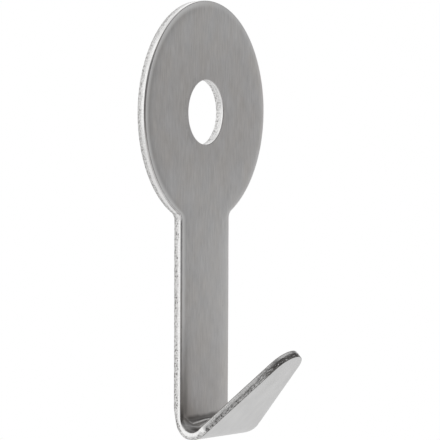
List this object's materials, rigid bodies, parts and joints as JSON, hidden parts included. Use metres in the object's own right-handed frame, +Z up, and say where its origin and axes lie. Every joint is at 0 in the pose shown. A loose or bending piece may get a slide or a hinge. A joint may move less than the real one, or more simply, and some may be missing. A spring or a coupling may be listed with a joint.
{
  "type": "coat hook",
  "caption": "Flat wall hook bent from one strip of sheet steel: round head with a large fixing hole, straight shank and an upturned, tapered lip with a round tip.",
  "frame": {"origin": "centre of the fixing hole, on the back face that lies on the wall", "axes": "+X across the hook, +Y into the wall, +Z up; the lip comes forward along -Y and turns up along +Z"},
  "size_m": [0.05, 0.0262, 0.098],
  "materials": {
    "brushed_stainless": "brushed along the shank, with bare blanked edges"
  },
  "bodies": {
    "root": {"hook": "brushed_stainless"}
  },
  "joints": []
}
